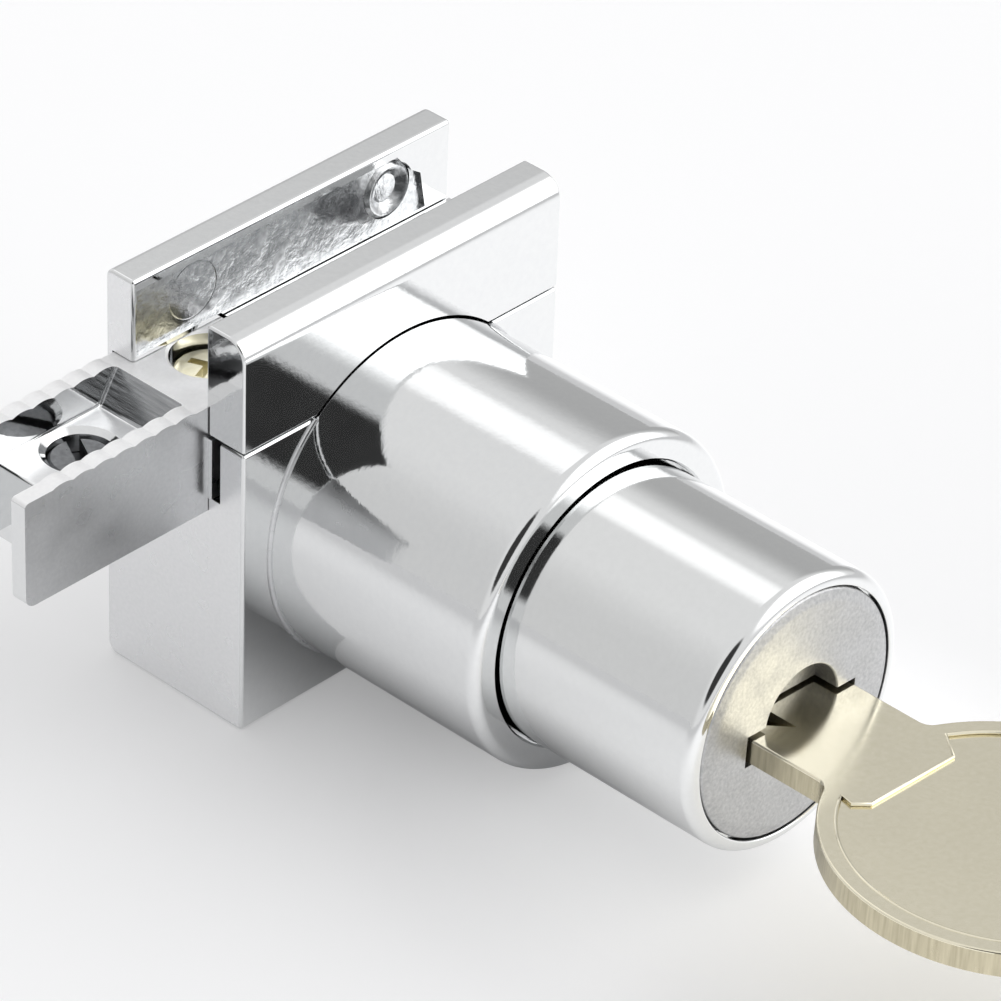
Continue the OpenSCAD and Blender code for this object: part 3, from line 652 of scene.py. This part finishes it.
# The stamped panel on both sides, a circle with a straight, stepped end, and the
# fine raised bead round it.
panel = bow_arc(PANEL_R, PANEL_END, 100) + [(-6.0, 50.5), (-4.95, 51.45), (4.1, 51.45)]
for y in (-KEY_T / 2 - 1 + PANEL_DEPTH, KEY_T / 2 - PANEL_DEPTH):
    shape(key, slab("panel", panel, "xz", y, y + 1))
for y in (-KEY_T / 2 + BEAD_SUNK, KEY_T / 2 - BEAD_SUNK):
    bead = wire("bead", [Vector((a, y, b)) for a, b in panel], BEAD_R, closed=True)
    shape(key, bead, "UNION")
hole = rod("ring_hole", RING_HOLE_R, -3, 3, steps=72)
shape(key, stand(hole, (0, 0, RING_HOLE_W), (90, 0, 0)))
# The blade's long groove, milled in and run out where the blade leaves the plug.
x = -1.37 - KEY_SIDE
groove = slab("groove", [(x, 0), (x, -6), (x - 3, -6), (x - 3, -3)], "xz", 0, 3)
stand(groove, turn=(-18, 0, 0))
shape(key, stand(groove, (0, KEY_T / 2, 41.6)))
shape(key, box("groove", (x - 3.02, KEY_T / 2 - 1.25, 20), (x + 0.02, KEY_T, 37.7)))
# A V-shaped notch for each wafer, in three sizes.
for i in range(WAFERS):
    size = (0.9 + 0.35 * (i % 3)) / 2
    notch = box("notch", (-size, -2, -size), (size, 2, size))
    stand(notch, turn=(0, 45, 0))
    shape(key, stand(notch, (BLADE, 0, FIRST_NOTCH_W + WAFER_PITCH * i)))
stand(key, (KEY_SIDE, -KEY_DROP, 0))
on_axis(key, KEY_TILT)
break_edges(key, width=0.1, segments=2, angle=50)
shade(key)
RIM = 1
paint_faces(key, RIM, lambda c, n: abs(n.z) < 0.3)
put_on(key, "key_body", [nickel_brass, sheared_brass], ["key"])

# ---------------------------------------------------------------- inner pieces

# The return spring, with a closed coil at each end, on the plunger's body. In the lock it
# is pressed together as the plunger goes in.
back, front = COIL_BACK_W + WIRE / 2, COIL_FRONT_W - WIRE / 2
lead = 1.05 * WIRE
coil = []
for i in range(STEPS_A_TURN * TURNS + 1):
    turn = i / STEPS_A_TURN
    w = back + (front - back - 2 * lead) * (turn - 1) / (TURNS - 2) + lead
    w = min(max(w, back + lead * min(turn, 1)), front - lead * min(TURNS - turn, 1))
    a = 2 * math.pi * turn
    coil.append(Vector((COIL_R * math.cos(a), COIL_R * math.sin(a), w)))
spring = on_axis(wire("coil_spring", coil, WIRE / 2))
shade(spring, angle=50)
put_on(spring, "plunger_body", [drawn_steel], ["return_spring"])
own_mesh(spring)

# The solids that nobody sees keep their form and get their finish.
for names, finish in (
        (("foot_screw", "guide_screw"), dark_steel),
        (("plunger_end_cap", "latch"), cast_zinc),
        (("locking_pin", "plug_clip", "wafer_spring"), drawn_steel),
        (("wafer_1", "wafer_2", "wafer_3", "wafer_4", "wafer_5"), wafer_brass)):
    for name in names:
        node = nodes[name]
        node.data.materials.clear()
        node.data.materials.append(finish)

# ---------------------------------------------------------------- studio

bpy.ops.object.select_all(action="DESELECT")
bpy.ops.mesh.primitive_plane_add(size=4, location=(0, 0, BASE * MM))
floor = bpy.context.object
floor.name = "white_table"
m, t = new_finish("white_table")
spot = add(t, "ShaderNodeTexCoord").outputs["Object"]
WHITE = linear("#FFFFFF")


def ramp(value, low, high, start, end):
    """A smooth change from start to end while a value goes from low to high."""
    return add(t, "ShaderNodeMapRange", {"Value": value, "From Min": low, "From Max": high,
                                         "To Min": start, "To Max": end},
               interpolation_type="SMOOTHSTEP").outputs["Result"]


def along(direction):
    """How far a spot of the floor lies in a direction, in metres."""
    return add(t, "ShaderNodeVectorMath", {0: spot, 1: direction},
               operation="DOT_PRODUCT").outputs["Value"]


def both(a, b, operation):
    """Two values added or multiplied."""
    return add(t, "ShaderNodeMath", {0: a, 1: b}, operation=operation).outputs[0]


# The white paper, as the camera sees it, glows with painted light: a little brighter
# behind, and a painted glow where the plunger and key would throw light back on it.
paper = add(t, "ShaderNodeBsdfDiffuse", {"Color": linear("#D8D8D9")})
key_spot = add(t, "ShaderNodeVectorMath", {0: spot, 1: (0.004, -0.042, 0)},
               operation="DISTANCE").outputs["Value"]
painted_bounce_glow = ramp(key_spot, low=0.010, high=0.030, start=0.17, end=0.0)
behind = ramp(along((0.35, 0.94, 0)), low=-0.06, high=0.05, start=0.222, end=0.262)
seen = add(t, "ShaderNodeEmission",
           {"Color": WHITE, "Strength": both(behind, painted_bounce_glow, "ADD")})
# In the metal's reflections it glows with painted light and shade: painted shade close
# round the lock, dark far off, and a painted pool of light brightest in front at the right.
away = add(t, "ShaderNodeVectorMath", {0: spot, 1: (0, 0.02, 0)}, operation="ADD")
away = add(t, "ShaderNodeVectorMath", {0: away.outputs["Vector"], 1: (1, 0.6, 1)},
           operation="MULTIPLY")
away = add(t, "ShaderNodeVectorMath", {0: away.outputs["Vector"]},
           operation="LENGTH").outputs["Value"]
painted_shade_near = ramp(away, low=0.007, high=0.023, start=0.02, end=1.0)
far = ramp(away, low=0.05, high=0.20, start=1.0, end=0.0)
bright = ramp(along((0.74, -0.67, 0)), low=-0.03, high=0.04, start=0.24, end=0.52)
painted_reflection_glow = add(t, "ShaderNodeEmission",
               {"Color": WHITE,
                "Strength": both(both(painted_shade_near, bright, "MULTIPLY"), far, "MULTIPLY")})
none = add(t, "ShaderNodeEmission", {"Strength": 0.0})
path = add(t, "ShaderNodeLightPath")
glossy = add(t, "ShaderNodeMixShader", {0: path.outputs["Is Glossy Ray"],
                                        1: none.outputs[0], 2: painted_reflection_glow.outputs[0]})
lift = add(t, "ShaderNodeMixShader", {0: path.outputs["Is Camera Ray"],
                                      1: glossy.outputs[0], 2: seen.outputs[0]})
surface = add(t, "ShaderNodeAddShader", {0: paper.outputs[0], 1: lift.outputs[0]})
add(t, "ShaderNodeOutputMaterial", {"Surface": surface.outputs[0]})
floor.data.materials.append(m)


def toward(azimuth, elevation):
    """A direction: azimuth 0 is -Y and 90 is +X."""
    a, e = math.radians(azimuth), math.radians(elevation)
    return (math.sin(a) * math.cos(e), -math.cos(a) * math.cos(e), math.sin(e))


world = bpy.data.worlds.new("white_tent")
bpy.context.scene.world = world
world.use_nodes = True
t = world.node_tree
t.nodes.clear()
aim = add(t, "ShaderNodeTexCoord").outputs["Generated"]


def patch(azimuth, elevation, inner, outer):
    """1 inside an angle round a direction, falling to 0 at the outer angle."""
    d = add(t, "ShaderNodeVectorMath", {0: aim, 1: toward(azimuth, elevation)},
            operation="DOT_PRODUCT")
    return add(t, "ShaderNodeMapRange",
               {"Value": d.outputs["Value"], "From Min": math.cos(math.radians(outer)),
                "From Max": math.cos(math.radians(inner))},
               interpolation_type="SMOOTHSTEP").outputs["Result"]


# The studio round the table is an even white tent. It has a dimmer wall low behind
# at the left and at the right, a bright lamp in front at the right, a small one high
# behind, and the dark gap that the camera looks through, which gives the chrome its
# black reflections. Each is a place in the tent, its inner and outer angle, and its
# level of light.
level = 0.90
for azimuth, elevation, inner, outer, light in (
        (-124, 5, 14, 50, 0.74),
        (118, 6, 16, 38, 0.50),
        (47, 32, 16, 40, 2.7),
        (151, 49, 5.5, 12, 1.35),
        (-47.4, 34.8, 20, 27, 0.045)):
    level = add(t, "ShaderNodeMix",
                {"Factor": patch(azimuth, elevation, inner, outer), "A": level, "B": light},
                data_type="FLOAT").outputs["Result"]
tent = add(t, "ShaderNodeBackground", {"Color": WHITE, "Strength": level})
plain = add(t, "ShaderNodeBackground", {"Color": linear("#FAFAFA"), "Strength": 1.0})
path = add(t, "ShaderNodeLightPath")
shown = add(t, "ShaderNodeMixShader", {0: path.outputs["Is Camera Ray"],
                                       1: tent.outputs[0], 2: plain.outputs[0]})
add(t, "ShaderNodeOutputWorld", {"Surface": shown.outputs[0]})

# ---------------------------------------------------------------- camera

# The camera fitted to the photo: its direction and roll in degrees, its place in
# metres, and its focal length in pixels of the square photo.
AZIMUTH, ELEVATION, ROLL = -47.355, 34.754, 2.111
PLACE = (-0.287085, -0.282650, 0.261329)
FOCAL, PHOTO_SIDE, SENSOR = 6342.516, 1001, 36
back = Vector(toward(AZIMUTH, ELEVATION))
right_way = Vector((0, 0, 1)).cross(back).normalized()
up_way = back.cross(right_way)
roll = math.radians(ROLL)
across = right_way * math.cos(roll) + up_way * math.sin(roll)
upward = up_way * math.cos(roll) - right_way * math.sin(roll)
camera = bpy.data.objects.new("camera", bpy.data.cameras.new("camera"))
bpy.context.scene.collection.objects.link(camera)
camera.data.lens = FOCAL * SENSOR / PHOTO_SIDE
camera.matrix_world = Matrix.Translation(PLACE) \
    @ Matrix((across, upward, back)).transposed().to_4x4()
bpy.context.scene.camera = camera
bpy.context.scene.view_settings.view_transform = "Standard"
